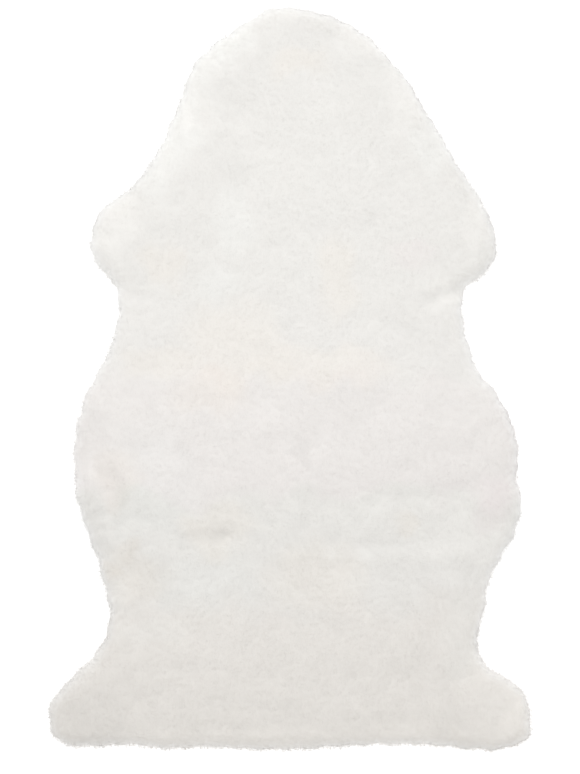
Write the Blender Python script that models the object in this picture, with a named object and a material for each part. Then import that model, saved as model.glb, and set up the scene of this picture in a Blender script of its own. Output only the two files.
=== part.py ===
"""A natural sheepskin rug in its whole shape: head end, foreleg and hind leg lobes.

The skin lies flat with its short, shorn wool up. It is one solid: a flat leather
sheet below, and the lumpy slab of its wool above, which reaches past the leather all
round and ends in locks at the rim.

Metres, +Z up. +Y runs along the backbone to the head end and +X to its right as seen
from above. The origin lies on the floor under the middle of the rug. Names that end
in _MM hold millimetres.
"""
import math
import random

import bmesh
import bpy
import numpy as np
from mathutils import Vector, noise
from mathutils.geometry import delaunay_2d_cdt

MM = 0.001

# Driving dimensions
LENGTH_MM = 900.0           # tail edge to head end
CROWN_HEIGHT_MM = 31.5      # floor to the top of the wool, away from the rim
RIM_STEP_MM = 8.0           # spacing of the points along the rim
CROWN_STEP_MM = 11.5        # spacing of the points on the wool's top
CROWN_SHOULDER_MM = 25.0    # over this much inside its edge, the top rises to the crown

# The mean line of the rim, clockwise from the head end: how far each point lies to
# the right of the backbone and how far in front of the tail edge, in millimetres.
OUTLINE_MM = (
    # across, along
    # head end and right side of the neck
    (-13, 900), (27, 895), (62, 884), (105, 854), (144, 810), (170, 766), (196, 723), (224, 679),
    # right foreleg lobe and the crease behind it
    (241, 649), (250, 613), (244, 585), (222, 566), (211, 556), (209, 534),
    # right flank and belly
    (213, 503), (226, 465), (251, 430), (267, 400), (277, 361), (275, 330), (282, 291),
    (274, 268), (259, 237), (243, 207), (236, 170),
    # right hind leg lobe
    (228, 131), (238, 105), (264, 89), (283, 73), (292, 45), (288, 13), (258, 2),
    # tail edge
    (214, 2), (170, 5), (124, 7), (61, 4), (-30, 1), (-102, 3), (-157, 2), (-196, 7), (-232, 4),
    # left hind leg lobe
    (-273, 7), (-291, 29), (-290, 59), (-270, 85), (-240, 115), (-222, 146), (-219, 173),
    # left belly and flank
    (-226, 204), (-234, 233), (-250, 274), (-260, 306), (-262, 352), (-259, 394), (-246, 434),
    (-222, 482), (-208, 527), (-209, 555),
    # left foreleg lobe
    (-226, 578), (-240, 598), (-240, 624), (-230, 654), (-196, 679),
    # left side of the neck
    (-160, 728), (-144, 763), (-131, 795), (-119, 825), (-93, 854), (-57, 878), (-34, 892),
)

# The skin's edge in section, from the leather's lower corner round the wool to where
# its top begins. inset is measured inward from the mean rim line. locks and lumps say
# how much of the rim locks and of the top's lumps each line of points takes on.
RIM_SECTION_MM = (
    # inset, height, locks, lumps
    (10.0, 0.0, 0.0, 0.0),      # lower edge of the leather
    (9.6, 1.9, 0.0, 0.0),       # upper edge of the leather
    (3.0, 4.0, 0.7, 0.0),       # wool that hangs past the leather
    (0.0, 11.5, 1.0, 0.1),      # widest line
    (3.0, 20.0, 0.8, 0.3),
    (9.0, 26.2, 0.4, 0.7),
    (18.0, 29.6, 0.1, 1.0),     # where the top begins
)

# Locks at the rim: rounded tufts with creases between them.
LOCK_WIDTH_MM = (20.0, 38.0)
LOCK_REACH_MM = (2.5, 5.5)
LOCK_SEED = 7

# Where the locks reach further than elsewhere. A stretch is a circle round a place.
LIVELY_RIM_MM = (
    # across, along, radius, times
    (275, 270, 110, 1.6),       # right belly
    (-255, 290, 90, 1.3),       # left belly
    (110, 830, 70, 1.3),        # right side of the neck
)

# Lumps on the wool's top: how wide each kind is and how far it rises and falls.
TUFT_WIDTH_MM = 30.0
TUFT_RISE_MM = 3.4
SWELL_WIDTH_MM = 75.0
SWELL_RISE_MM = 1.8
SWELL_LAYER_MM = 200.0      # where the swells' own pattern is read, clear of the tufts'
TAIL_LIVELINESS = 1.2       # the tail half is more tufted than the neck
HEAD_LIVELINESS = 0.75

# Partings and hollows in the wool, each a soft trough from one place to another.
# A negative depth is a raised clump.
PARTINGS_MM = (
    # across and along at its start, at its end, depth, half width
    (-139, 255, -72, 261, 3.0, 9.0),        # parting across the loin, left
    (-98, 259, -80, 258, 3.0, 8.0),         # its deepest place
    (-72, 261, 0, 249, 3.5, 9.0),
    (0, 249, 85, 247, 2.5, 9.0),
    (85, 247, 194, 254, 2.5, 8.0),          # parting across the loin, right
    (12, 301, 109, 303, 2.2, 10.0),         # fainter parting in front of it
    (109, 303, 218, 315, 3.0, 10.0),
    (-3, 376, 3, 370, 3.5, 11.0),           # hollow on the back
    (-260, 274, -223, 285, 7.0, 8.0),       # nick in the left belly's rim
    (216, 558, 176, 543, 9.0, 9.0),         # crease behind the right foreleg
    (-214, 552, -181, 545, 5.0, 9.0),       # crease behind the left foreleg
    (145, 541, 165, 536, 2.5, 13.0),        # hollow on the right shoulder
    (-232, 333, -214, 326, -3.5, 15.0),     # raised clumps on the left belly
    (-192, 318, -176, 312, -2.5, 13.0),
    (113, 826, 119, 815, 3.0, 12.0),        # hollow beside the head
)

# The directions in which the rim's section turns inward are averaged over this much
# of the rim, so that the section stays whole round the sharp corners.
TURNING_SPREAD_MM = 26.0

SPAN_POINTS = 24            # fine points between two rows of the outline
MERGE_MM = 1e-5
WHOLE_NET = 0               # the triangulation's choice that returns every triangle

WOOL, LEATHER = 0, 1        # places in the sheepskin's list of materials
WOOL_COLOR = (0.83, 0.81, 0.76, 1.0)
LEATHER_COLOR = (0.72, 0.64, 0.52, 1.0)


def clear_scene():
    for old in list(bpy.data.objects):
        bpy.data.objects.remove(old, do_unlink=True)


def plain_material(name, color, roughness):
    material = bpy.data.materials.new(name)
    material.use_nodes = True
    shader = material.node_tree.nodes["Principled BSDF"]
    shader.inputs["Base Color"].default_value = color
    shader.inputs["Roughness"].default_value = roughness
    shader.inputs["Metallic"].default_value = 0.0
    return material


def smooth_step(value):
    value = np.clip(value, 0.0, 1.0)
    return value * value * (3.0 - 2.0 * value)


def curve_span(before, start, end, after, count):
    """Points on a centripetal Catmull-Rom curve from start up to, but not at, end."""
    knots = [0.0]
    for low, high in ((before, start), (start, end), (end, after)):
        knots.append(knots[-1] + math.sqrt(np.linalg.norm(high - low)))
    place = np.linspace(knots[1], knots[2], count, endpoint=False)[:, None]

    def between(low, high, first, last):
        return (first * (high - place) + last * (place - low)) / (high - low)

    first_leg = between(knots[0], knots[1], before, start)
    middle_leg = between(knots[1], knots[2], start, end)
    last_leg = between(knots[2], knots[3], end, after)
    lower = between(knots[0], knots[2], first_leg, middle_leg)
    upper = between(knots[1], knots[3], middle_leg, last_leg)
    return between(knots[1], knots[2], lower, upper)


def rim_line():
    """The mean rim line as evenly spaced points, with its length."""
    table = np.array(OUTLINE_MM, float)
    count = len(table)
    spans = []
    for row in range(count):
        corners = [table[(row + step) % count] for step in (-1, 0, 1, 2)]
        spans.append(curve_span(*corners, count=SPAN_POINTS))
    fine = np.vstack(spans + [table[:1]])
    travelled = np.append(0.0, np.cumsum(np.linalg.norm(np.diff(fine, axis=0), axis=1)))
    length = travelled[-1]
    steps = round(length / RIM_STEP_MM)
    wanted = np.arange(steps) * length / steps
    line = np.column_stack([np.interp(wanted, travelled, fine[:, axis]) for axis in (0, 1)])
    return line, length


def inward_directions(line):
    """Unit vectors across the rim, averaged along it. The line runs clockwise."""
    along = np.roll(line, -1, axis=0) - np.roll(line, 1, axis=0)
    across = np.column_stack([along[:, 1], -along[:, 0]])
    reach = int(3 * TURNING_SPREAD_MM / RIM_STEP_MM)
    averaged = np.zeros_like(across)
    for step in range(-reach, reach + 1):
        weight = math.exp(-0.5 * (step * RIM_STEP_MM / TURNING_SPREAD_MM) ** 2)
        averaged += weight * np.roll(across, step, axis=0)
    return averaged / np.linalg.norm(averaged, axis=1)[:, None]


def rim_liveliness(line):
    """How much further than usual the locks reach at each point of the rim."""
    times = np.ones(len(line))
    for across, along, radius, strength in LIVELY_RIM_MM:
        distance = np.hypot(line[:, 0] - across, line[:, 1] - along)
        times += (strength - 1.0) * smooth_step(1.0 - distance / radius)
    return times


def lock_reaches(line, length):
    """How far the locks stand out from the mean rim line at each of its points."""
    draw = random.Random(LOCK_SEED)
    edges = [0.0]
    while edges[-1] < length - LOCK_WIDTH_MM[1]:
        edges.append(edges[-1] + draw.uniform(*LOCK_WIDTH_MM))
    edges = np.array(edges) * length / edges[-1]
    heights = np.array([draw.uniform(*LOCK_REACH_MM) for _ in edges])
    place = np.arange(len(line)) * length / len(line)
    lock = np.searchsorted(edges, place, side="right") - 1
    share = (place - edges[lock]) / (edges[lock + 1] - edges[lock])
    reach = heights[lock] * np.sin(np.pi * share) ** 0.8
    return (reach - reach.mean()) * rim_liveliness(line)


def parting_depth(x, y):
    """How far the partings lower the wool at one place, in millimetres."""
    depth = 0.0
    for x0, y0, x1, y1, deepest, half_width in PARTINGS_MM:
        run = Vector((x1 - x0, y1 - y0))
        offset = Vector((x - x0, y - y0))
        share = min(max(offset.dot(run) / run.length_squared, 0.0), 1.0)
        distance = (offset - share * run).length
        depth += deepest * math.exp(-(distance / half_width) ** 2)
    return depth


def lump_rise(x, y):
    """How far the tufts and swells lift the wool at one place, in millimetres."""
    nearest = noise.voronoi(Vector((x, y, 0.0)) / TUFT_WIDTH_MM)[0][0]
    tuft = TUFT_RISE_MM * (0.5 - min(nearest, 1.0) ** 2)
    swell = SWELL_RISE_MM * noise.noise(Vector((x, y, SWELL_LAYER_MM)) / SWELL_WIDTH_MM)
    share = y / LENGTH_MM
    liveliness = TAIL_LIVELINESS + (HEAD_LIVELINESS - TAIL_LIVELINESS) * share
    return liveliness * tuft + swell - parting_depth(x, y)


def rim_rings(line, length):
    """One ring of points for each row of the rim's section."""
    inward = inward_directions(line)
    reach = lock_reaches(line, length)
    rings = []
    for inset, height, locks, lumps in RIM_SECTION_MM:
        flat = line + inward * (inset - locks * reach)[:, None]
        rise = [lumps * lump_rise(x, y) for x, y in flat]
        rings.append([(x, y, height + lift) for (x, y), lift in zip(flat, rise)])
    return rings


def distance_to_ring(points, ring):
    """Distance from each point to a closed ring, below zero outside it."""
    start = np.array(ring)[:, :2]
    end = np.roll(start, -1, axis=0)
    run = end - start
    offset = points[:, None, :] - start[None, :, :]
    share = np.clip((offset * run).sum(2) / (run * run).sum(1), 0.0, 1.0)
    gap = np.linalg.norm(offset - share[:, :, None] * run, axis=2).min(axis=1)
    y = points[:, 1][:, None]
    crosses = (start[:, 1] > y) != (end[:, 1] > y)
    rise = np.where(run[:, 1] == 0.0, 1.0, run[:, 1])
    crossing = start[:, 0] + (y - start[:, 1]) * run[:, 0] / rise
    inside = (crosses & (points[:, 0][:, None] < crossing)).sum(axis=1) % 2 == 1
    return np.where(inside, gap, -gap)


def crown_points(ring):
    """Points in even rows over the wool's top, inside the ring where it begins."""
    row_step = CROWN_STEP_MM * math.sqrt(3.0) / 2.0
    corners = np.array(ring)
    rows = np.arange(corners[:, 1].min(), corners[:, 1].max(), row_step)
    columns = np.arange(corners[:, 0].min(), corners[:, 0].max(), CROWN_STEP_MM)
    x, y = np.meshgrid(columns, rows)
    x[1::2] += CROWN_STEP_MM / 2.0
    points = np.column_stack([x.ravel(), y.ravel()])
    distance = distance_to_ring(points, ring)
    clear = distance > 0.6 * CROWN_STEP_MM
    edge_height = RIM_SECTION_MM[-1][1]
    rise = smooth_step(distance / CROWN_SHOULDER_MM)
    heights = edge_height + (CROWN_HEIGHT_MM - edge_height) * rise
    return [
        (x, y, height + lump_rise(x, y))
        for (x, y), height in zip(points[clear], heights[clear])
    ]


def add_crown(mesh, edge, ring):
    """Close the top inside its ring with a net of near-equal triangles."""
    points = ring + crown_points(ring)
    verts = edge + [mesh.verts.new(Vector(point) * MM) for point in points[len(ring):]]
    loop = list(range(len(ring)))
    sides = list(zip(loop, loop[1:] + loop[:1]))
    flat = [Vector(point[:2]) for point in points]
    net = delaunay_2d_cdt(flat, sides, [], WHOLE_NET, MERGE_MM, True)
    triangles = np.array([[net[3][corner][0] for corner in triangle] for triangle in net[2]])
    middles = np.array(points)[triangles, :2].mean(axis=1)
    for triangle in triangles[distance_to_ring(middles, ring) > 0.0]:
        mesh.faces.new([verts[corner] for corner in triangle])


def add_band(mesh, lower, upper, material_index):
    """Join two rings of the rim's section with a band of faces."""
    for here in range(len(lower)):
        there = (here + 1) % len(lower)
        face = mesh.faces.new((lower[here], lower[there], upper[there], upper[here]))
        face.material_index = material_index


def build_sheepskin():
    line, length = rim_line()
    rings = rim_rings(line, length)
    mesh = bmesh.new()
    loops = [[mesh.verts.new(Vector(point) * MM) for point in ring] for ring in rings]
    underside = mesh.faces.new(loops[0])
    underside.material_index = LEATHER
    add_band(mesh, loops[0], loops[1], LEATHER)
    for lower, upper in zip(loops[1:], loops[2:]):
        add_band(mesh, lower, upper, WOOL)
    add_crown(mesh, loops[-1], rings[-1])
    bmesh.ops.recalc_face_normals(mesh, faces=mesh.faces)
    centre_on_origin(mesh)
    data = bpy.data.meshes.new("sheepskin")
    mesh.to_mesh(data)
    mesh.free()
    data.materials.append(plain_material("wool", WOOL_COLOR, 0.95))
    data.materials.append(plain_material("leather", LEATHER_COLOR, 0.7))
    data.shade_smooth()
    data.set_sharp_from_angle(angle=math.radians(60.0))
    sheepskin = bpy.data.objects.new("sheepskin", data)
    bpy.context.scene.collection.objects.link(sheepskin)


def centre_on_origin(mesh):
    places = np.array([vert.co for vert in mesh.verts])
    middle = (places.min(axis=0) + places.max(axis=0)) / 2.0
    bmesh.ops.translate(mesh, verts=mesh.verts, vec=(-middle[0], -middle[1], 0.0))


clear_scene()
build_sheepskin()
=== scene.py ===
"""Looks of the sheepskin rug: suede underside, the mass of its wool and the pile's fine wisps.

The wool is built over the solid's own surface, so its outline, lumps and partings are
the solid's. Metres throughout, in the solid's frame: the origin on the floor under the
rug's middle, +Z up and +Y to the head end. Names that end in _MM hold millimetres.
"""

import math
from collections import namedtuple

import bmesh
import bpy
import numpy as np
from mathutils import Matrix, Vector, noise
from mathutils.kdtree import KDTree


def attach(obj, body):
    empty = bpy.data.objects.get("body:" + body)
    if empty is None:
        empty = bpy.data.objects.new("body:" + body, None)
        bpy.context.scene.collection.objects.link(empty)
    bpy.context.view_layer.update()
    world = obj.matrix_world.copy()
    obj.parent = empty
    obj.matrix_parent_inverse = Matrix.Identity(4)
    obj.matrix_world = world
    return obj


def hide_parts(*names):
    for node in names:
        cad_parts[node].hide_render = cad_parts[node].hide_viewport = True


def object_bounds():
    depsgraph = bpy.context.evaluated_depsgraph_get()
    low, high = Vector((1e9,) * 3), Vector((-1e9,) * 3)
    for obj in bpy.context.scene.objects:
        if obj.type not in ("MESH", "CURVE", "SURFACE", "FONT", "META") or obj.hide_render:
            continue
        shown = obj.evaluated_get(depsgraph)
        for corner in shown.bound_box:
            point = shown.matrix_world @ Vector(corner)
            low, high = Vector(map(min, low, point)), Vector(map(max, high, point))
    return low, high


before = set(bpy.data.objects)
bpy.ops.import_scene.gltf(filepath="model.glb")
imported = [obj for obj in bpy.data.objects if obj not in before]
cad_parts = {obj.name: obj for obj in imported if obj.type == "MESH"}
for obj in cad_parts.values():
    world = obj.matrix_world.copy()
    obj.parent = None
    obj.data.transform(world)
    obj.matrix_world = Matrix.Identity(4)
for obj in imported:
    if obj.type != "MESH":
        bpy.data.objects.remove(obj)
CAD_BOX = [list(corner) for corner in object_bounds()]

MM = 0.001
BODY = "root"
NODE = "sheepskin"
SEED = 11                       # starts the random draws
NOISE_SEED = 714                # unseeded, the smooth noise differs from run to run

# Where the leather ends and the wool begins in the solid
LEATHER_TOP = 1.9 * MM
LEATHER_SLACK = 0.05 * MM       # the leather's own faces end below its top and this
WOOL_FLOOR = 2.2 * MM
MERGE_WITHIN = 0.01 * MM        # corners of the solid this close together are one
LEVEL_FACE = 0.9                # a face is level if its normal's height is this or more

# The wool's lower lip sags past the leather to just above the floor
LIP_TOP = 7.0 * MM              # height above which the wool keeps the solid's shape
LIP_BOTTOM = 0.5 * MM

# The wool ground: the mass of fibres below the wisps
GROUND_LEVELS = 2
GROUND_DEPTH = 0.5 * MM         # it lies this far inside the solid's surface
UPRIGHT_SQUEEZE = 0.3           # heights shrink to this, which draws the relief out down the rim
STAPLE_COUNT = 4200             # staples are soft clumps of fibres, about 10 mm wide
STAPLE_RISE = 0.35 * MM
STAPLE_SUNK = 0.6               # share of that rise which lies below the ground's own level
STAPLE_EDGE = 7.0 * MM          # width over which a staple rounds down to its neighbours
STAPLE_WARP = 2.4 * MM
WARP_WIDTH = 9.0 * MM
RIPPLE_WIDTH = 5.5 * MM
RIPPLE_RISE = 0.15 * MM
RIM_RELIEF = 2.2                # times the relief at the rim
EDGE_HELD = 0.3 * MM            # the ground's lower edge keeps its place up to this height

# Wisps: flat tapered bundles of fibres that lean out of the ground
WISP_COUNT = 176000
WISP_PIECES = 4
WISP_ROOT_DEPTH = 0.2 * MM
WISP_LENGTH = (2.6 * MM, 4.8 * MM)
WISP_RISE = (0.07 * MM, 0.22 * MM)
WISP_WIDTH = (0.30 * MM, 0.50 * MM)     # from its middle line to its side
WISP_BEND = 0.12                # spread of its sideways bend, as a share of its length
WISP_MIDDLE = 0.5               # where it is widest, as a share of its length
WISP_MIDDLE_RISE = 0.7          # and of its rise
LOWEST_WISP = 0.4 * MM
WISP_CORNERS = 4                # its root, its two sides and its tip
WISP_TRIANGLES = ((0, 1, 2), (3, 2, 1), (0, 3, 1), (0, 2, 3))
TIP_SHARES = (0.0, 0.5, 0.5, 1.0)   # how near each of its corners is to its tip

# What turns a wisp's lean: the lie of the fleece, its staple and itself
COMB = 0.8
COMB_WIDTH = 70.0 * MM
COMB_TO_TAIL = 0.35
STAPLE_LEAN = 0.25
OWN_LEAN = 0.4

# Wisps of the rim are longer and hang outward in small tufts. Rim and underside are told by
# the height of the ground's normal there, which is 1 on top and 0 at the side
RIM_COUNT = 18000
RIM_TUFTS = 4000
RIM_START = 0.75                # they grow where the normal is lower than this,
RIM_BAND = 0.5                  # and fully where it is lower by this much more
UNDER_START = 0.3               # the same for the underside
UNDER_BAND = 0.4
RIM_LENGTH = (3.5 * MM, 7.5 * MM)
RIM_REACH = (1.6 * MM, 5.2 * MM)
RIM_WIDTH = (0.22 * MM, 0.38 * MM)
RIM_SAG = 0.05                  # how far a rim wisp turns down, as a share of its length
UNDER_SAG = 0.6                 # the same under the rim
UNDER_REACH = 0.1               # share of the reach that is left under the rim
RIM_OWN_LEAN = 0.45
RIM_COMB = 0.5
RIM_COMB_WIDTH = 30.0 * MM
TUFT_GATHER = 0.35              # how far it turns to its tuft's middle, as a share of the way
TUFT_RADIUS = 4.0 * MM
TUFT_REACH = 1.15               # times the reach in a tuft's middle,
TUFT_FALL = 0.5                 # and how much less at its edge

# Each use of the smooth noise reads it this many metres up, so that no two are alike
WARP_LAYER = 0.0
RIPPLE_LAYER = 1.0
COMB_LAYER = 3.0
RIM_LAYER = 5.0
MARK_LAYER = 7.0
BAND_LAYER = 9.0

# The wool's colour along the rug. Its tints are its own; its darkening to the tail is partly its
# own and partly painted shade, where the lamps' light falls off
WOOL_BANDS_AND_SHADE_MM = (
    # along, red, green, blue
    (-451, 0.814, 0.784, 0.740),
    (-290, 0.842, 0.812, 0.771),    # warm beige over the rump
    (-255, 0.843, 0.826, 0.793),
    (-150, 0.836, 0.822, 0.789),    # cooler across the loin
    (-130, 0.862, 0.831, 0.807),
    (-10, 0.877, 0.849, 0.823),     # faintly pink on the back
    (15, 0.872, 0.854, 0.825),
    (120, 0.862, 0.847, 0.815),
    (451, 0.856, 0.841, 0.811),     # nearly neutral over shoulders and neck
)
MARK_WANDER = 16.0 * MM         # how far the marks' and the bands' edges wander
MARK_WANDER_WIDTH = 28.0 * MM
BAND_WANDER = 24.0 * MM         # how far the bands' edges wander besides
BAND_WANDER_WIDTH = 60.0 * MM
MARK_REACH = 1.6                # a mark ends at this many half widths, and is full to 1 less

TINTS = {
    "plain": (1.0, 1.0, 1.0),
    "cream": (1.015, 1.0, 0.983),
    "pink": (1.010, 0.992, 1.0),
    "cool": (0.996, 1.004, 1.006),
}

# Places that are lighter, darker or of another tint than round them, in the wool's own tints and
# tones and in painted light and shade
# The tints are the wool's own and so are some tones; the rest are painted light and shade: darker
# partings and hollows, lighter tufts, a highlight on the head edge, and lighter waist creases and
# tail edge against their shade
WOOL_MARKS_LIGHT_AND_SHADE_MM = (
    # across, along, half width, half length, tone, tint
    (9, 381, 29, 17, 0.00, "cream"),        # head and neck
    (33, 419, 29, 18, -0.020, "plain"),
    (-60, 343, 28, 18, -0.022, "plain"),
    (39, 321, 15, 16, 0.014, "plain"),
    (101, 377, 24, 16, -0.014, "plain"),
    (136, 334, 18, 34, 0.036, "plain"),
    (-72, 249, 12, 20, -0.014, "plain"),
    (-103, 385, 24, 36, 0.068, "cool"),
    (-137, 305, 25, 46, 0.080, "cool"),
    (-100, 315, 20, 20, 0.040, "plain"),
    (-160, 240, 18, 24, 0.050, "cool"),
    (172, 280, 18, 28, 0.035, "cool"),
    (222, 190, 14, 40, 0.050, "plain"),
    (-212, 188, 26, 40, 0.048, "plain"),
    # painted highlight along the head edge
    (0, 440, 84, 13, 0.034, "plain"),
    (-68, 402, 18, 18, 0.060, "cool"),
    (88, 415, 26, 22, 0.036, "plain"),
    (-52, 303, 24, 15, 0.014, "plain"),
    (-20, 246, 24, 30, 0.010, "plain"),
    (-153, 136, 21, 24, 0.00, "cream"),     # shoulders
    (56, 122, 21, 46, 0.00, "cream"),
    (142, 149, 27, 15, 0.00, "pink"),
    (-70, 190, 24, 34, 0.030, "cool"),
    (-88, 116, 24, 21, 0.022, "cool"),
    (-148, 159, 40, 24, -0.014, "plain"),
    (-69, 41, 54, 42, 0.004, "cream"),      # cream band behind the shoulders
    (-93, -16, 40, 24, 0.00, "cream"),
    (45, 14, 73, 20, 0.012, "cream"),
    (-159, 20, 34, 17, 0.00, "cream"),
    (157, 71, 24, 20, -0.014, "plain"),
    (192, 55, 8, 13, 0.035, "plain"),
    # painted light: the two waist creases are lightened against their shade
    (182, 105, 28, 8, 0.040, "plain"),      # creases at the waist
    (-189, 107, 22, 8, 0.025, "plain"),
    (57, -23, 45, 7, -0.014, "plain"),      # back
    (8, -85, 11, 13, -0.055, "plain"),
    (104, -137, 22, 8, 0.045, "plain"),
    (-97, -86, 18, 13, 0.035, "plain"),
    (-230, -57, 20, 16, -0.035, "plain"),
    (-166, -126, 48, 60, 0.00, "cool"),
    (-205, -119, 26, 30, 0.00, "cream"),    # left belly
    # painted light and shade on the left belly: lighter tufts and darker hollows between them
    (-238, -112, 8, 11, 0.045, "plain"),
    (-236, -136, 8, 9, 0.030, "plain"),
    (-217, -108, 10, 11, -0.055, "plain"),
    (-205, -124, 12, 11, -0.048, "plain"),
    (-195, -143, 8, 8, -0.030, "plain"),
    (-224, -152, 8, 8, 0.020, "plain"),
    (-154, -98, 15, 24, 0.018, "plain"),
    (-184, -179, 15, 9, 0.050, "plain"),
    (-147, -174, 12, 10, 0.016, "plain"),
    (-236, -174, 10, 9, -0.065, "plain"),
    (-226, -198, 9, 8, -0.050, "plain"),
    (-203, -209, 16, 11, -0.042, "cream"),
    (-217, -231, 10, 9, -0.030, "cream"),
    (-181, -251, 12, 8, -0.020, "plain"),
    (-149, -259, 10, 8, -0.018, "plain"),
    (-87, -179, 34, 27, 0.00, "cream"),     # loin and its parting
    (24, -173, 76, 22, 0.018, "plain"),
    # painted shade in the loin's parting, and painted light beside it against its groove's shade
    (-90, -190, 18, 7, -0.060, "plain"),
    (4, -215, 50, 12, -0.032, "plain"),
    (-31, -186, 34, 10, 0.030, "plain"),
    (72, -198, 30, 10, 0.035, "plain"),
    (193, -187, 44, 22, 0.042, "plain"),
    (21, -157, 15, 9, -0.035, "plain"),
    (-78, -147, 16, 10, 0.045, "plain"),
    (-127, -195, 10, 6, -0.030, "plain"),
    (-177, -217, 23, 13, -0.040, "plain"),
    (245, -150, 16, 30, -0.015, "pink"),    # right belly
    (142, -174, 15, 12, -0.014, "cream"),
    (252, -188, 8, 10, 0.040, "plain"),
    (-185, -241, 30, 26, -0.016, "cream"),  # haunches and rump
    (-100, -245, 54, 32, 0.010, "cool"),
    (31, -235, 48, 34, 0.00, "cream"),
    (-196, -254, 18, 11, 0.035, "plain"),
    (77, -281, 14, 10, 0.035, "plain"),
    (208, -310, 22, 46, 0.008, "cool"),
    (240, -384, 30, 46, 0.040, "plain"),
    (-240, -400, 46, 30, -0.042, "plain"),
    (142, -422, 36, 12, 0.040, "plain"),
    (-224, -433, 28, 6, -0.050, "plain"),
    (243, -250, 13, 45, 0.045, "plain"),
    # painted light along the tail edge, against its shade
    (20, -434, 210, 12, 0.038, "plain"),
    (280, -412, 20, 36, 0.080, "plain"),
    (-169, -304, 45, 12, 0.022, "cool"),
    (-135, -318, 10, 6, 0.025, "plain"),
    (-115, -343, 30, 8, -0.018, "plain"),
)
STAPLE_TONE = 0.006             # spread of the staples' own tones
TAIL_SPREAD = 1.5               # times that spread at the tail edge
WISP_TONE = 0.003
RIM_PAINTED_LIGHT = 0.03                 # painted light: the rim is painted lighter and is paler,
TAIL_SIDE_PAINTED_LIGHT = 0.07                # and lighter still on its sides to the tail, against the shade there
RIM_PALE = 0.4
PALE_START = 0.98               # the normal's height below which the rim is paler and painted lighter
EDGE_WHITE = (0.975, 0.969, 0.958)  # painted light: the wool fades to this near white at its outline,
EDGE_PAINTED_LIGHT = 0.3                 # by this share,
EDGE_START = 0.5                # below this height of the normal,
TIP_PAINTED_LIGHT = 0.5                  # and its long wisps by this share to their tips
FADE_BAND = 0.5                 # how much lower the normal is where either is full

# The wool's finish
WOOL_ROUGHNESS = 0.9
WOOL_SPECULAR = 0.2
SHEEN = 0.8
SHEEN_ROUGHNESS = 0.6
FIBRES_PER_METRE = (900.0, 260.0, 900.0)
FIBRE_DETAIL = 3.0
FIBRE_WAVE = 1.2
FIBRE_RANGE = (0.25, 0.75)      # of the noise, from the darkest fibre to the lightest
FIBRE_SHADE = 0.02
FIBRE_HEIGHT = 0.5 * MM
FIBRE_BUMP = 0.6

# The suede's finish
SUEDE_ROUGHNESS = 0.85
SUEDE_SPECULAR = 0.25
SUEDE_SHEEN = 0.3
SUEDE_DARK = (0.62, 0.54, 0.42, 1.0)
SUEDE_LIGHT = (0.74, 0.67, 0.55, 1.0)
CLOUDS_PER_METRE = 14.0
CLOUD_DETAIL = 6.0
CLOUD_ROUGHNESS = 0.65
CLOUD_RANGE = (0.35, 0.65)      # of the noise, from the darkest cloud to the lightest
NAP_PER_METRE = 900.0
NAP_DETAIL = 3.0
NAP_HEIGHT = 0.3 * MM
NAP_BUMP = 0.4

MAP_MARGIN = 1.1                # the map's width, times the rug's longest side

# Studio
WHITE = (1.0, 1.0, 1.0, 1.0)
WORLD_STRENGTH = 0.75
LAMPS = (
    # name, place, what it looks at, size, watts
    ("softbox", (-0.05, 0.3, 1.2), (-0.05, 0.3, 0.0), 1.0, 2.25),
    ("key", (-0.25, 3.0, 2.6), (0.0, 0.0, 0.0), 1.6, 32.0),
)
FLOOR_SIZE = 12.0
FLOOR_COLOR = (0.90, 0.90, 0.90, 1.0)
FLOOR_ROUGHNESS = 0.8
FLOOR_GLOW = 0.48

CAMERA_DISTANCE = 2.4
AIM_HEIGHT = 0.0115             # the height at which the photo's scale holds
SENSOR_HEIGHT = 36.0            # of the camera, in millimetres
PHOTO_SIZE = (580, 774)
PHOTO_MM_PER_PIXEL = 1.2089
PHOTO_CENTRE = (289.75, 378.9)      # the rug's middle in the photo

Surface = namedtuple("Surface", "co normals triangles")
Mark = namedtuple("Mark", "x y half_width half_length tone tint")


# Small tools

def smooth_step(value):
    value = np.clip(value, 0.0, 1.0)
    return value * value * (3.0 - 2.0 * value)


def unit(vectors):
    return vectors / np.maximum(np.linalg.norm(vectors, axis=-1, keepdims=True), 1e-9)


def across(vectors, normals):
    """What is left of the vectors in the planes that the normals stand on."""
    return vectors - normals * (vectors * normals).sum(axis=1)[:, None]


def to_head(up):
    """How far each normal's own side of the rug looks to the head: 1 there, -1 to the tail."""
    return up[:, 1:2] / np.maximum(np.hypot(up[:, 0:1], up[:, 1:2]), 1e-6)


def noise_at(points, width, layer):
    """Smooth noise in three directions at each point, from about -1 to 1."""
    return np.array([
        noise.noise_vector(Vector((x, y, z + layer)) / width) for x, y, z in points
    ])


def two_nearest(centres, points):
    """For each point, its nearest centre's index, and the distances to the nearest two."""
    tree = KDTree(len(centres))
    for index, centre in enumerate(centres):
        tree.insert(centre, index)
    tree.balance()
    found = [tree.find_n(point, 2) for point in points]
    index = np.array([pair[0][1] for pair in found])
    near = np.array([pair[0][2] for pair in found])
    far = np.array([pair[1][2] for pair in found])
    return index, near, far


def new_object(name, data):
    piece = bpy.data.objects.new(name, data)
    bpy.context.scene.collection.objects.link(piece)
    return piece


def surface_of(data):
    """A mesh's corner places, corner normals and triangles as arrays."""
    co = np.empty(len(data.vertices) * 3)
    data.vertices.foreach_get("co", co)
    normals = np.empty(len(data.vertices) * 3)
    data.vertices.foreach_get("normal", normals)
    data.calc_loop_triangles()
    triangles = np.empty(len(data.loop_triangles) * 3, int)
    data.loop_triangles.foreach_get("vertices", triangles)
    return Surface(co.reshape(-1, 3), normals.reshape(-1, 3), triangles.reshape(-1, 3))


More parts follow.
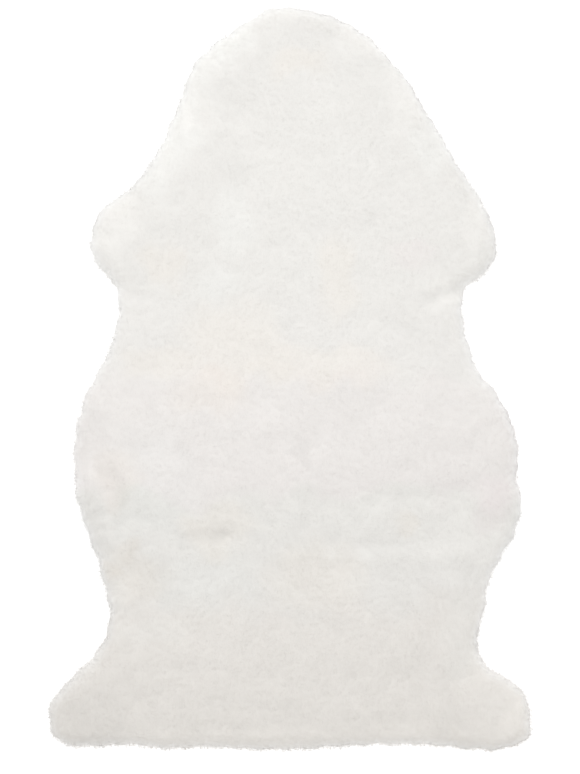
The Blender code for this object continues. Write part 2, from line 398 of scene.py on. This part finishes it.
def scatter(surface, count, draw, share=None):
    """Points spread over a surface, with its normals there: evenly, or by each corner's share."""
    a, b, c = (surface.co[surface.triangles[:, k]] for k in range(3))
    areas = 0.5 * np.linalg.norm(np.cross(b - a, c - a), axis=1)
    if share is not None:
        areas = areas * share[surface.triangles].mean(axis=1)
    heaped = np.cumsum(areas)
    wanted = (np.arange(count) + draw.random(count)) / count * heaped[-1]
    chosen = np.minimum(np.searchsorted(heaped, wanted), len(areas) - 1)
    s, t = draw.random((2, count))
    over = s + t > 1.0
    s[over] = 1.0 - s[over]
    t[over] = 1.0 - t[over]
    weights = np.stack([1.0 - s - t, s, t], axis=1)[:, :, None]
    corners = surface.triangles[chosen]
    points = (surface.co[corners] * weights).sum(axis=1)
    return points, unit((surface.normals[corners] * weights).sum(axis=1))


def solid_mesh():
    """The solid's faces with shared corners, as a bmesh."""
    mesh = bmesh.new()
    mesh.from_mesh(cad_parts[NODE].data)
    bmesh.ops.remove_doubles(mesh, verts=mesh.verts, dist=MERGE_WITHIN)
    return mesh


# Leather hide

def leather_loop(mesh):
    """The corners of the solid's bottom edge, in order round the rug."""
    bottom = [v for v in mesh.verts if v.co.z < 0.5 * LEATHER_TOP]
    ring = set(bottom)
    loop = [bottom[0]]
    seen = {bottom[0]}
    while True:
        nexts = [
            edge.other_vert(loop[-1])
            for edge in loop[-1].link_edges
            if edge.other_vert(loop[-1]) in ring
            and any(abs(face.normal.z) < LEVEL_FACE for face in edge.link_faces)
        ]
        fresh = [v for v in nexts if v not in seen]
        if not fresh:
            break
        loop.append(fresh[0])
        seen.add(fresh[0])
    return [v.co.copy() for v in loop]


def make_hide():
    """The hide as a thin flat piece, and its flat area."""
    mesh = solid_mesh()
    loop = leather_loop(mesh)
    mesh.free()
    hide = bmesh.new()
    lower = [hide.verts.new((p.x, p.y, 0.0)) for p in loop]
    upper = [hide.verts.new((p.x, p.y, LEATHER_TOP)) for p in loop]
    hide.faces.new(lower)
    hide.faces.new(upper)
    for here in range(len(loop)):
        there = (here + 1) % len(loop)
        hide.faces.new((lower[here], lower[there], upper[there], upper[here]))
    bmesh.ops.recalc_face_normals(hide, faces=hide.faces)
    bmesh.ops.triangulate(hide, faces=hide.faces)
    data = bpy.data.meshes.new("leather_hide")
    hide.to_mesh(data)
    hide.free()
    area = 0.5 * abs(sum(a.x * b.y - b.x * a.y for a, b in zip(loop, loop[1:] + loop[:1])))
    return new_object("leather_hide", data), area


# Wool ground

def wool_shell():
    """The wool's outer surface as an open mesh, its lower edge just outside the leather."""
    mesh = solid_mesh()
    leather_end = LEATHER_TOP + LEATHER_SLACK
    leather = [face for face in mesh.faces if max(v.co.z for v in face.verts) < leather_end]
    bmesh.ops.delete(mesh, geom=leather, context="FACES")
    bmesh.ops.join_triangles(
        mesh, faces=mesh.faces, angle_face_threshold=math.pi, angle_shape_threshold=math.pi)
    for vert in mesh.verts:
        if vert.is_boundary:
            vert.co.z = WOOL_FLOOR
    data = bpy.data.meshes.new("wool_ground")
    mesh.to_mesh(data)
    mesh.free()
    return data


def refine(piece, levels):
    """Divides and rounds each face of the piece's mesh."""
    finer = piece.modifiers.new("finer", "SUBSURF")
    finer.levels = levels
    finer.render_levels = levels
    finer.boundary_smooth = "PRESERVE_CORNERS"
    evaluated = piece.evaluated_get(bpy.context.evaluated_depsgraph_get())
    data = bpy.data.meshes.new_from_object(evaluated)
    piece.modifiers.clear()
    piece.data = data


def squeezed(points):
    """The points with their heights drawn together, which draws noise out down the rim."""
    return points * np.array([1.0, 1.0, UPRIGHT_SQUEEZE])


def warped(points):
    """The points strayed a little, which gives the staples uneven outlines."""
    return points + noise_at(points, WARP_WIDTH, WARP_LAYER) * STAPLE_WARP


def ground_rise(surface, staples):
    """How far each corner of the ground moves along its normal."""
    _, near, far = two_nearest(staples, warped(squeezed(surface.co)))
    dome = smooth_step((far - near) / STAPLE_EDGE) - STAPLE_SUNK
    ripple = noise_at(squeezed(surface.co), RIPPLE_WIDTH, RIPPLE_LAYER)[:, 0]
    relief = STAPLE_RISE * dome + RIPPLE_RISE * ripple
    relief *= 1.0 + (RIM_RELIEF - 1.0) * smooth_step(1.0 - surface.normals[:, 2])
    lower_edge = surface.co[:, 2] < WOOL_FLOOR + EDGE_HELD
    return np.where(lower_edge, 0.0, relief - GROUND_DEPTH)


def lay_down(heights):
    """Heights below the lip's top, stretched so that the lip reaches nearly to the floor."""
    stretch = (LIP_TOP - LIP_BOTTOM) / (LIP_TOP - WOOL_FLOOR)
    low = LIP_TOP - (LIP_TOP - heights) * stretch
    return np.where(heights < LIP_TOP, np.maximum(low, LIP_BOTTOM), heights)


def close_underneath(data):
    """Draws the open lower edge up over the leather and fills it there."""
    mesh = bmesh.new()
    mesh.from_mesh(data)
    edge = [e for e in mesh.edges if e.is_boundary]
    grown = bmesh.ops.extrude_edge_only(mesh, edges=edge)["geom"]
    for vert in (v for v in grown if isinstance(v, bmesh.types.BMVert)):
        vert.co.z = WOOL_FLOOR
    rim = [e for e in mesh.edges if e.is_boundary]
    bmesh.ops.triangle_fill(mesh, use_beauty=True, edges=rim)
    bmesh.ops.recalc_face_normals(mesh, faces=mesh.faces)
    mesh.to_mesh(data)
    mesh.free()


def make_ground(draw):
    """The ground, its surface before it is closed underneath, and its staples' middles."""
    ground = new_object("wool_ground", wool_shell())
    refine(ground, GROUND_LEVELS)
    surface = surface_of(ground.data)
    staples, _ = scatter(surface, STAPLE_COUNT, draw)
    staples = squeezed(staples)
    co = surface.co + surface.normals * ground_rise(surface, staples)[:, None]
    co[:, 2] = lay_down(co[:, 2])
    ground.data.vertices.foreach_set("co", co.ravel())
    ground.data.update()
    return ground, surface_of(ground.data), staples


# Wisps

def wisp_corners(roots, up, lean, rise, width, bend):
    """Each wisp's four corners: its buried root, the two sides of its middle and its tip."""
    side = unit(np.cross(lean, up))
    middles = roots + WISP_MIDDLE * lean + up * WISP_MIDDLE_RISE * rise + side * bend
    corners = np.stack([
        roots - up * WISP_ROOT_DEPTH,
        middles + side * width,
        middles - side * width,
        roots + lean + up * rise,
    ], axis=1)
    corners[:, :, 2] = np.maximum(corners[:, :, 2], LOWEST_WISP)
    return corners


def wisp_sizes(count, sizes, draw):
    """Random sizes within each pair of limits, one column each."""
    return [draw.uniform(*limits, (count, 1)) for limits in sizes]


def pile_wisps(surface, staples, draw):
    """The pile's wisps over the whole ground, their roots and each one's staple."""
    roots, up = scatter(surface, WISP_COUNT, draw)
    staple, _, _ = two_nearest(staples, warped(squeezed(roots)))
    comb = unit(noise_at(roots, COMB_WIDTH, COMB_LAYER) + np.array([0.0, -COMB_TO_TAIL, 0.0]))
    staple_lean = unit(draw.normal(size=(STAPLE_COUNT, 3)))[staple]
    own_lean = unit(draw.normal(size=(WISP_COUNT, 3)))
    lean = COMB * comb + STAPLE_LEAN * staple_lean + OWN_LEAN * own_lean
    length, rise, width = wisp_sizes(WISP_COUNT, (WISP_LENGTH, WISP_RISE, WISP_WIDTH), draw)
    lean = unit(across(lean, up)) * length
    bend = draw.normal(0.0, WISP_BEND, (WISP_COUNT, 1)) * length
    return wisp_corners(roots, up, lean, rise, width, bend), roots, up, staple


def rim_wisps(surface, draw):
    """Longer wisps on the rim and under it, gathered in small tufts that hang outward."""
    steep = smooth_step((RIM_START - surface.normals[:, 2]) / RIM_BAND)
    roots, up = scatter(surface, RIM_COUNT, draw, steep)
    tufts, _ = scatter(surface, RIM_TUFTS, draw, steep)
    tuft, near, _ = two_nearest(tufts, roots)
    length, reach, width = wisp_sizes(RIM_COUNT, (RIM_LENGTH, RIM_REACH, RIM_WIDTH), draw)
    under = smooth_step((UNDER_START - up[:, 2]) / UNDER_BAND)[:, None]
    sag = RIM_SAG + (UNDER_SAG - RIM_SAG) * under
    down = sag * np.array([0.0, 0.0, -1.0])
    own = unit(draw.normal(size=(RIM_COUNT, 3))) * RIM_OWN_LEAN
    comb = noise_at(roots, RIM_COMB_WIDTH, RIM_LAYER) * RIM_COMB
    lean = across(down + own + comb, up) * length
    lean -= across(roots - tufts[tuft], up) * TUFT_GATHER
    reach *= TUFT_REACH - TUFT_FALL * smooth_step(near / TUFT_RADIUS)[:, None]
    reach *= 1.0 - (1.0 - UNDER_REACH) * under
    bend = draw.normal(0.0, WISP_BEND, (RIM_COUNT, 1)) * length
    return wisp_corners(roots, up, lean, reach, width, bend), roots, up


def wisp_piece(name, corners, colors):
    """A mesh of all the wisps, four flat triangles each."""
    first = (np.arange(len(corners)) * WISP_CORNERS)[:, None, None]
    faces = (first + np.array(WISP_TRIANGLES)).reshape(-1, 3)
    data = bpy.data.meshes.new(name)
    data.vertices.add(len(corners) * WISP_CORNERS)
    data.vertices.foreach_set("co", corners.astype(np.float32).ravel())
    data.loops.add(faces.size)
    data.loops.foreach_set("vertex_index", faces.astype(np.int32).ravel())
    data.polygons.add(len(faces))
    data.polygons.foreach_set("loop_start", (np.arange(len(faces)) * 3).astype(np.int32))
    data.update(calc_edges=True)
    data.shade_flat()
    piece = new_object(name, data)
    write_colors(piece, colors.reshape(-1, 3))
    write_map(piece, corners.reshape(-1, 3))
    return piece


# Colours of the wool, with painted light and shade

def mark_share(points, mark):
    """How fully each point lies in a mark: 1 in its middle, 0 outside."""
    u = (points[:, 0] / MM - mark.x) / mark.half_width
    v = (points[:, 1] / MM - mark.y) / mark.half_length
    return smooth_step(MARK_REACH - np.hypot(u, v))


def wool_colors_and_light(points, up):
    """The wool's colour at points on its ground, where it faces up, with painted light and shade
    in its marks, bands, rim and outline.
    """
    strayed = points + noise_at(points, MARK_WANDER_WIDTH, MARK_LAYER) * MARK_WANDER
    wander = noise_at(points, BAND_WANDER_WIDTH, BAND_LAYER)[:, 0] * BAND_WANDER
    along = (strayed[:, 1] + wander) / MM
    places, *channels = zip(*WOOL_BANDS_AND_SHADE_MM)
    colors = np.stack([np.interp(along, places, channel) for channel in channels], axis=1)
    for mark in map(Mark._make, WOOL_MARKS_LIGHT_AND_SHADE_MM):
        full = np.array(TINTS[mark.tint]) * (1.0 + mark.tone)
        colors *= 1.0 + mark_share(strayed, mark)[:, None] * (full - 1.0)
    # painted light: the rim is lighter, more so on its sides to the tail, against the shade
    # there; it is also paler
    rim = smooth_step((PALE_START - up[:, 2]) / FADE_BAND)[:, None]
    facing = to_head(up)
    tone = RIM_PAINTED_LIGHT + TAIL_SIDE_PAINTED_LIGHT * np.maximum(-facing, 0.0)
    grey = colors.mean(axis=1, keepdims=True)
    colors = (colors + (grey - colors) * RIM_PALE * rim) * (1.0 + tone * rim)
    # painted light: the wool fades toward white at its outline, less so on its sides to the tail
    edge = smooth_step((EDGE_START - up[:, 2:]) / FADE_BAND) * (1.0 + np.minimum(facing, 0.0))
    white = np.array(EDGE_WHITE)
    colors += (white - colors) * EDGE_PAINTED_LIGHT * edge
    return np.minimum(colors, white)


def staple_shade(points, staple, tones):
    """The staples' own lighter and darker tones, stronger to the tail."""
    to_tail = 0.5 - points[:, 1] / (CAD_BOX[1][1] - CAD_BOX[0][1])
    return 1.0 + tones[staple] * (1.0 + (TAIL_SPREAD - 1.0) * to_tail)


def write_colors(piece, colors):
    rows = np.ones((len(colors), 4), np.float32)
    rows[:, :3] = colors
    attribute = piece.data.color_attributes.new("wool_color", "FLOAT_COLOR", "POINT")
    attribute.data.foreach_set("color", rows.ravel())


def write_map(piece, places):
    """The piece's map: each corner's place seen from above."""
    low = np.array(CAD_BOX[0][:2])
    high = np.array(CAD_BOX[1][:2])
    size = (high - low).max() * MAP_MARGIN
    places = (places[:, :2] - (low + high) / 2) / size + 0.5
    corners = np.empty(len(piece.data.loops), int)
    piece.data.loops.foreach_get("vertex_index", corners)
    layer = piece.data.uv_layers.new(name="OFBake")
    layer.uv.foreach_set("vector", places[corners].astype(np.float32).ravel())


# Materials

def node_material(name, roughness):
    material = bpy.data.materials.new(name)
    material.use_nodes = True
    nodes = material.node_tree.nodes
    shader = nodes["Principled BSDF"]
    shader.inputs["Roughness"].default_value = roughness
    return material, nodes, material.node_tree.links, shader


def wool_material(name, fibre_height):
    """Wool in the colours written on it, which hold painted light and shade, streaked by fine
    wavy fibres along the rug.

    The fibres also raise it, unless their height is nothing.
    """
    material, nodes, links, shader = node_material(name, WOOL_ROUGHNESS)
    shader.inputs["Sheen Weight"].default_value = SHEEN
    shader.inputs["Sheen Roughness"].default_value = SHEEN_ROUGHNESS
    shader.inputs["Specular IOR Level"].default_value = WOOL_SPECULAR
    place = nodes.new("ShaderNodeTexCoord")
    stretch = nodes.new("ShaderNodeMapping")
    stretch.inputs["Scale"].default_value = FIBRES_PER_METRE
    fibres = nodes.new("ShaderNodeTexNoise")
    fibres.inputs["Scale"].default_value = 1.0
    fibres.inputs["Detail"].default_value = FIBRE_DETAIL
    fibres.inputs["Distortion"].default_value = FIBRE_WAVE
    shade = nodes.new("ShaderNodeMapRange")
    shade.inputs["From Min"].default_value = FIBRE_RANGE[0]
    shade.inputs["From Max"].default_value = FIBRE_RANGE[1]
    shade.inputs["To Min"].default_value = 1.0 - FIBRE_SHADE
    shade.inputs["To Max"].default_value = 1.0 + FIBRE_SHADE
    own = nodes.new("ShaderNodeAttribute")
    own.attribute_name = "wool_color"
    shaded = nodes.new("ShaderNodeVectorMath")
    shaded.operation = "SCALE"
    links.new(place.outputs["Object"], stretch.inputs["Vector"])
    links.new(stretch.outputs["Vector"], fibres.inputs["Vector"])
    links.new(fibres.outputs["Fac"], shade.inputs["Value"])
    links.new(own.outputs["Color"], shaded.inputs[0])
    links.new(shade.outputs["Result"], shaded.inputs["Scale"])
    links.new(shaded.outputs["Vector"], shader.inputs["Base Color"])
    if fibre_height:
        bump = nodes.new("ShaderNodeBump")
        bump.inputs["Strength"].default_value = FIBRE_BUMP
        bump.inputs["Distance"].default_value = fibre_height
        links.new(fibres.outputs["Fac"], bump.inputs["Height"])
        links.new(bump.outputs["Normal"], shader.inputs["Normal"])
    return material


def leather_material():
    """Pale suede: soft cloudy tints and a fine nap."""
    material, nodes, links, shader = node_material("leather", SUEDE_ROUGHNESS)
    shader.inputs["Sheen Weight"].default_value = SUEDE_SHEEN
    shader.inputs["Specular IOR Level"].default_value = SUEDE_SPECULAR
    place = nodes.new("ShaderNodeTexCoord")
    clouds = nodes.new("ShaderNodeTexNoise")
    clouds.inputs["Scale"].default_value = CLOUDS_PER_METRE
    clouds.inputs["Detail"].default_value = CLOUD_DETAIL
    clouds.inputs["Roughness"].default_value = CLOUD_ROUGHNESS
    tint = nodes.new("ShaderNodeValToRGB")
    low, high = tint.color_ramp.elements
    low.position = CLOUD_RANGE[0]
    low.color = SUEDE_DARK
    high.position = CLOUD_RANGE[1]
    high.color = SUEDE_LIGHT
    nap = nodes.new("ShaderNodeTexNoise")
    nap.inputs["Scale"].default_value = NAP_PER_METRE
    nap.inputs["Detail"].default_value = NAP_DETAIL
    bump = nodes.new("ShaderNodeBump")
    bump.inputs["Strength"].default_value = NAP_BUMP
    bump.inputs["Distance"].default_value = NAP_HEIGHT
    links.new(place.outputs["Object"], clouds.inputs["Vector"])
    links.new(clouds.outputs["Fac"], tint.inputs["Fac"])
    links.new(tint.outputs["Color"], shader.inputs["Base Color"])
    links.new(place.outputs["Object"], nap.inputs["Vector"])
    links.new(nap.outputs["Fac"], bump.inputs["Height"])
    links.new(bump.outputs["Normal"], shader.inputs["Normal"])
    return material


# Studio

def make_floor():
    """A wide pale floor that glows a little, so that it stays white round the rug."""
    bpy.ops.mesh.primitive_plane_add(size=FLOOR_SIZE, location=(0.0, 0.0, 0.0))
    floor = bpy.context.object
    floor.name = "floor"
    material, _, _, shader = node_material("floor", FLOOR_ROUGHNESS)
    shader.inputs["Base Color"].default_value = FLOOR_COLOR
    shader.inputs["Emission Color"].default_value = WHITE
    shader.inputs["Emission Strength"].default_value = FLOOR_GLOW
    floor.data.materials.append(material)


def area_light(name, place, target, size, watts):
    data = bpy.data.lights.new(name, "AREA")
    data.shape = "DISK"
    data.size = size
    data.energy = watts
    light = new_object(name, data)
    light.location = place
    light.rotation_euler = (Vector(target) - Vector(place)).to_track_quat("-Z", "Y").to_euler()


def make_lights():
    """The lamps and the white room light."""
    for lamp in LAMPS:
        area_light(*lamp)
    world = bpy.data.worlds.new("studio")
    bpy.context.scene.world = world
    world.use_nodes = True
    background = world.node_tree.nodes["Background"]
    background.inputs["Color"].default_value = WHITE
    background.inputs["Strength"].default_value = WORLD_STRENGTH


def make_camera():
    """Looks straight down, with the photo's scale and framing."""
    frame_height = PHOTO_SIZE[1] * PHOTO_MM_PER_PIXEL * MM
    data = bpy.data.cameras.new("camera")
    data.sensor_fit = "VERTICAL"
    data.sensor_height = SENSOR_HEIGHT
    data.lens = data.sensor_height * CAMERA_DISTANCE / frame_height
    camera = new_object("camera", data)
    x = (PHOTO_SIZE[0] / 2 - PHOTO_CENTRE[0]) * PHOTO_MM_PER_PIXEL * MM
    y = (PHOTO_CENTRE[1] - PHOTO_SIZE[1] / 2) * PHOTO_MM_PER_PIXEL * MM
    camera.location = (x, y, AIM_HEIGHT + CAMERA_DISTANCE)
    bpy.context.scene.camera = camera


# The rug's pieces

def make_pile(surface, staples, tones, draw):
    """The wisps over the whole rug, in a few pieces."""
    corners, roots, up, staple = pile_wisps(surface, staples, draw)
    shade = staple_shade(roots, staple, tones) * draw.normal(1.0, WISP_TONE, WISP_COUNT)
    colors = wool_colors_and_light(roots, up) * shade[:, None]
    pieces = []
    for number, chosen in enumerate(np.array_split(np.arange(WISP_COUNT), WISP_PIECES), 1):
        own = np.repeat(colors[chosen][:, None], WISP_CORNERS, axis=1)
        pieces.append(wisp_piece(f"wool_wisps_{number}", corners[chosen], own))
    return pieces


def make_rim(surface, draw):
    """The longer wisps at the rug's rim, painted lighter to their tips, in one piece."""
    corners, roots, up = rim_wisps(surface, draw)
    shade = draw.normal(1.0, WISP_TONE, (RIM_COUNT, 1))
    colors = np.repeat((wool_colors_and_light(roots, up) * shade)[:, None], WISP_CORNERS, axis=1)
    # painted light: the wisps fade toward white to their tips, less so on the sides to the tail
    tip_light = TIP_PAINTED_LIGHT * (1.0 + np.minimum(to_head(up), 0.0))[:, None]
    tip_light = tip_light * np.array(TIP_SHARES)[:, None]
    colors += (np.array(EDGE_WHITE) - colors) * tip_light
    return wisp_piece("wool_rim", corners, colors)


def make_wool():
    """The wool's ground, pile and rim, each in its colours and its material."""
    draw = np.random.default_rng(SEED)
    ground, surface, staples = make_ground(draw)
    tones = draw.normal(0.0, STAPLE_TONE, STAPLE_COUNT)
    staple, _, _ = two_nearest(staples, warped(squeezed(surface.co)))
    shade = staple_shade(surface.co, staple, tones)
    write_colors(ground, wool_colors_and_light(surface.co, surface.normals) * shade[:, None])
    pieces = [ground, *make_pile(surface, staples, tones, draw), make_rim(surface, draw)]
    close_underneath(ground.data)
    write_map(ground, surface_of(ground.data).co)
    ground.data.shade_smooth()
    wool = wool_material("wool", 0.0)
    fibrous = wool_material("wool_ground", FIBRE_HEIGHT)
    for piece in pieces:
        piece.data.materials.clear()
        piece.data.materials.append(fibrous if piece is ground else wool)
        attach(piece, BODY)
        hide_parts(NODE)


def make_leather():
    """The hide, a flat sheet of the solid's own size."""
    hide, area = make_hide()
    hide.data.materials.append(leather_material())
    write_map(hide, surface_of(hide.data).co)
    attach(hide, BODY)
    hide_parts(NODE)


noise.seed_set(NOISE_SEED)
make_leather()
make_wool()
make_floor()
make_lights()
make_camera()
bpy.context.scene.view_settings.view_transform = "Standard"
